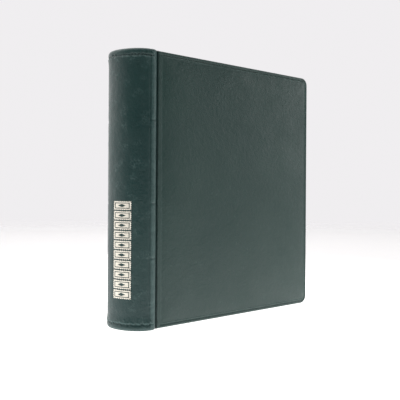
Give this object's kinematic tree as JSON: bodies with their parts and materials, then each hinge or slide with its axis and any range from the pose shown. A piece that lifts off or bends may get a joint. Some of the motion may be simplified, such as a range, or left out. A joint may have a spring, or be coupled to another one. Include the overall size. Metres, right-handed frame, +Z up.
{
  "type": "stamp album",
  "caption": "Padded leatherette ring album for postcards and stamp cards, half-round spine, hinged covers, opening ring mechanism and pocket leaves, standing slightly open.",
  "frame": {"origin": "centre of the album's bounding box on the surface it stands on, as it stands slightly open", "axes": "+Z up the spine, +X from the spine towards the fore-edges, -Y towards the front cover"},
  "size_m": [0.2198, 0.2036, 0.25],
  "materials": {
    "leatherette": "dark green grained leatherette, semi-matt",
    "padding_foam": "soft open foam, hidden",
    "grey_board": "plain grey binder board",
    "lining_paper": "dark green printed lining paper",
    "cream_foil": "stamped cream foil",
    "nickel": "bright nickel plate",
    "spring_steel": "spring steel, satin",
    "clear_film": "clear soft film, glossy",
    "black_card": "matt black card",
    "white_strip": "white reinforced plastic strip"
  },
  "bodies": {
    "spine": {"spine_skin": "leatherette", "spine_shell": "grey_board", "spine_inner_board": "grey_board", "spine_lining": "lining_paper", "spine_foil_ornament": "cream_foil", "ring_canopy": "nickel", "mounting_rivets": "nickel", "rivet_washers": "spring_steel", "lever_pins": "spring_steel", "front_hinge_web": "leatherette", "back_hinge_web": "leatherette"},
    "front_cover": {"front_cover_skin": "leatherette", "front_cover_foam": "padding_foam", "front_cover_board": "grey_board", "front_cover_lining": "lining_paper"},
    "back_cover": {"back_cover_skin": "leatherette", "back_cover_foam": "padding_foam", "back_cover_board": "grey_board", "back_cover_lining": "lining_paper"},
    "front_rings": {"front_blade": "spring_steel", "front_half_rings": "nickel"},
    "back_rings": {"back_blade": "spring_steel", "back_half_rings": "nickel"},
    "top_lever": {"top_lever": "nickel"},
    "bottom_lever": {"bottom_lever": "nickel"},
    "leaf_01": {"leaf_01_films": "clear_film", "leaf_01_card": "black_card", "leaf_01_strip": "white_strip"},
    "leaf_02": {"leaf_02_films": "clear_film", "leaf_02_card": "black_card", "leaf_02_strip": "white_strip"},
    "leaf_03": {"leaf_03_films": "clear_film", "leaf_03_card": "black_card", "leaf_03_strip": "white_strip"},
    "leaf_04": {"leaf_04_films": "clear_film", "leaf_04_card": "black_card", "leaf_04_strip": "white_strip"},
    "leaf_05": {"leaf_05_films": "clear_film", "leaf_05_card": "black_card", "leaf_05_strip": "white_strip"},
    "leaf_06": {"leaf_06_films": "clear_film", "leaf_06_card": "black_card", "leaf_06_strip": "white_strip"},
    "leaf_07": {"leaf_07_films": "clear_film", "leaf_07_card": "black_card", "leaf_07_strip": "white_strip"},
    "leaf_08": {"leaf_08_films": "clear_film", "leaf_08_card": "black_card", "leaf_08_strip": "white_strip"},
    "leaf_09": {"leaf_09_films": "clear_film", "leaf_09_card": "black_card", "leaf_09_strip": "white_strip"},
    "leaf_10": {"leaf_10_films": "clear_film", "leaf_10_card": "black_card", "leaf_10_strip": "white_strip"}
  },
  "joints": [
    {"name": "front_cover_open", "type": "hinge", "parent": "spine", "child": "front_cover", "pos_m": [-0.08984, -0.0227, 0.125], "axis": [0, 0, -1], "range_deg": [-22, 83]},
    {"name": "back_cover_open", "type": "hinge", "parent": "spine", "child": "back_cover", "pos_m": [-0.08984, 0.0227, 0.125], "axis": [0, 0, 1], "range_deg": [-22, 83]},
    {"name": "rings_open", "type": "hinge", "parent": "spine", "child": "front_rings", "pos_m": [-0.08864, -0.0066, 0.125], "axis": [0, 0, -1], "range_deg": [0, 10]},
    {"name": "back_rings_open", "type": "hinge", "parent": "spine", "child": "back_rings", "pos_m": [-0.08864, 0.0066, 0.125], "axis": [0, 0, 1], "range_deg": [0, 10]},
    {"name": "bottom_lever_turn", "type": "hinge", "parent": "spine", "child": "bottom_lever", "pos_m": [-0.08864, 0, 0.0195], "axis": [0, 1, 0], "range_deg": [0, 25]},
    {"name": "top_lever_turn", "type": "hinge", "parent": "spine", "child": "top_lever", "pos_m": [-0.08864, 0, 0.2305], "axis": [0, -1, 0], "range_deg": [0, 25]},
    {"name": "leaf_05_turn", "type": "hinge", "parent": "spine", "child": "leaf_05", "pos_m": [-0.07364, 0, 0.125], "axis": [0, 0, -1], "range_deg": [-3.52, 13.28]},
    {"name": "leaf_06_turn", "type": "hinge", "parent": "spine", "child": "leaf_06", "pos_m": [-0.07364, 0, 0.125], "axis": [0, 0, 1], "range_deg": [-3.52, 13.28]},
    {"name": "leaf_04_turn", "type": "hinge", "parent": "spine", "child": "leaf_04", "pos_m": [-0.07364, 0, 0.125], "axis": [0, 0, -1], "range_deg": [-7.04, 26.56]},
    {"name": "leaf_07_turn", "type": "hinge", "parent": "spine", "child": "leaf_07", "pos_m": [-0.07364, 0, 0.125], "axis": [0, 0, 1], "range_deg": [-7.04, 26.56]},
    {"name": "leaf_03_turn", "type": "hinge", "parent": "spine", "child": "leaf_03", "pos_m": [-0.07364, 0, 0.125], "axis": [0, 0, -1], "range_deg": [-10.56, 39.84]},
    {"name": "leaf_08_turn", "type": "hinge", "parent": "spine", "child": "leaf_08", "pos_m": [-0.07364, 0, 0.125], "axis": [0, 0, 1], "range_deg": [-10.56, 39.84]},
    {"name": "leaf_02_turn", "type": "hinge", "parent": "spine", "child": "leaf_02", "pos_m": [-0.07364, 0, 0.125], "axis": [0, 0, -1], "range_deg": [-14.08, 53.12]},
    {"name": "leaf_09_turn", "type": "hinge", "parent": "spine", "child": "leaf_09", "pos_m": [-0.07364, 0, 0.125], "axis": [0, 0, 1], "range_deg": [-14.08, 53.12]},
    {"name": "leaf_01_turn", "type": "hinge", "parent": "spine", "child": "leaf_01", "pos_m": [-0.07364, 0, 0.125], "axis": [0, 0, -1], "range_deg": [-17.6, 66.4]},
    {"name": "leaf_10_turn", "type": "hinge", "parent": "spine", "child": "leaf_10", "pos_m": [-0.07364, 0, 0.125], "axis": [0, 0, 1], "range_deg": [-17.6, 66.4]}
  ],
  "couplings": [
    {"joint": "back_rings_open", "follows": "rings_open", "ratio": 1},
    {"joint": "bottom_lever_turn", "follows": "rings_open", "ratio": 2.5},
    {"joint": "top_lever_turn", "follows": "rings_open", "ratio": 2.5},
    {"joint": "leaf_05_turn", "follows": "front_cover_open", "ratio": 0.16},
    {"joint": "leaf_06_turn", "follows": "back_cover_open", "ratio": 0.16},
    {"joint": "leaf_04_turn", "follows": "front_cover_open", "ratio": 0.32},
    {"joint": "leaf_07_turn", "follows": "back_cover_open", "ratio": 0.32},
    {"joint": "leaf_03_turn", "follows": "front_cover_open", "ratio": 0.48},
    {"joint": "leaf_08_turn", "follows": "back_cover_open", "ratio": 0.48},
    {"joint": "leaf_02_turn", "follows": "front_cover_open", "ratio": 0.64},
    {"joint": "leaf_09_turn", "follows": "back_cover_open", "ratio": 0.64},
    {"joint": "leaf_01_turn", "follows": "front_cover_open", "ratio": 0.8},
    {"joint": "leaf_10_turn", "follows": "back_cover_open", "ratio": 0.8}
  ]
}
